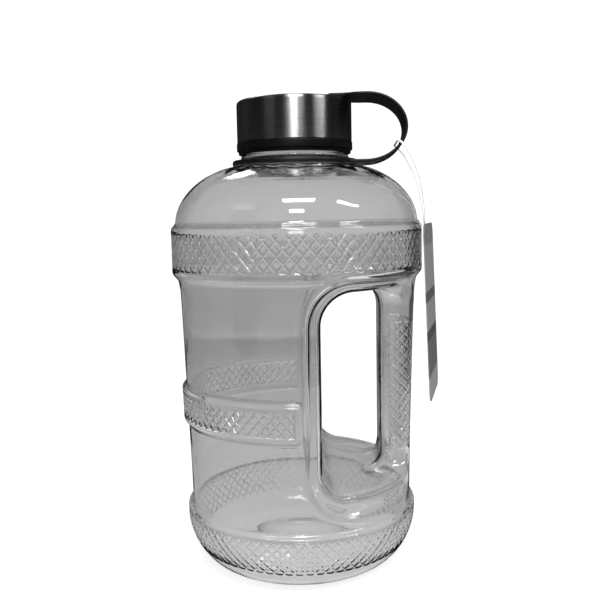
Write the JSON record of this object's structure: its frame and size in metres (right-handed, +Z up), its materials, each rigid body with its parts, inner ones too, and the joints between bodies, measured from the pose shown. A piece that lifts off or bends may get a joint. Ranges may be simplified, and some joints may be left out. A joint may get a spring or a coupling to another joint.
{
  "type": "water jug",
  "caption": "Clear half-gallon water jug with a through handle, diamond-grip bands, a steel screw cap and a flexible carry strap.",
  "frame": {"origin": "centre of the base, on the surface the jug stands on", "axes": "+Z up along the jug's turning axis, +X towards the through handle and the strap"},
  "size_m": [0.145, 0.132, 0.2437],
  "materials": {
    "clear_copolyester": "clear blow-moulded copolyester, slightly smoky",
    "black_polypropylene": "moulded, satin",
    "brushed_stainless": "turned and brushed round the axis",
    "silicone": "translucent white, matt",
    "black_elastomer": "moulded, fine matt",
    "tag_card": "printed card, no text",
    "cotton_string": "twisted thread"
  },
  "bodies": {
    "jug": {"jug_body": "clear_copolyester"},
    "gasket": {"cap_gasket": "silicone"},
    "cap": {"cap_inner": "black_polypropylene", "cap_shell": "brushed_stainless", "strap_stud": "black_polypropylene"},
    "strap": {"strap_collar": "black_elastomer", "strap_bow": "black_elastomer", "swing_tag": "tag_card", "tag_string": "cotton_string"},
    "strap_end": {"strap_eye": "black_elastomer"}
  },
  "joints": [
    {"name": "cap_lift", "type": "slide", "parent": "jug", "child": "gasket", "axis": [0, 0, 1], "range_m": [0, 0.0075]},
    {"name": "cap_turn", "type": "hinge", "parent": "gasket", "child": "cap", "pos_m": [0, 0, 0.225], "axis": [0, 0, 1], "range_deg": [0, 450]},
    {"name": "strap_swivel", "type": "hinge", "parent": "jug", "child": "strap", "pos_m": [0, 0, 0.2097], "axis": [0, 0, 1], "continuous": true},
    {"name": "strap_rise", "type": "slide", "parent": "strap", "child": "strap_end", "axis": [0, 0, 1], "range_m": [0, 0.0075]}
  ],
  "couplings": [
    {"joint": "cap_lift", "follows": "cap_turn", "m_per_rad": 0.0009549},
    {"joint": "strap_rise", "follows": "cap_turn", "m_per_rad": 0.0009549}
  ]
}
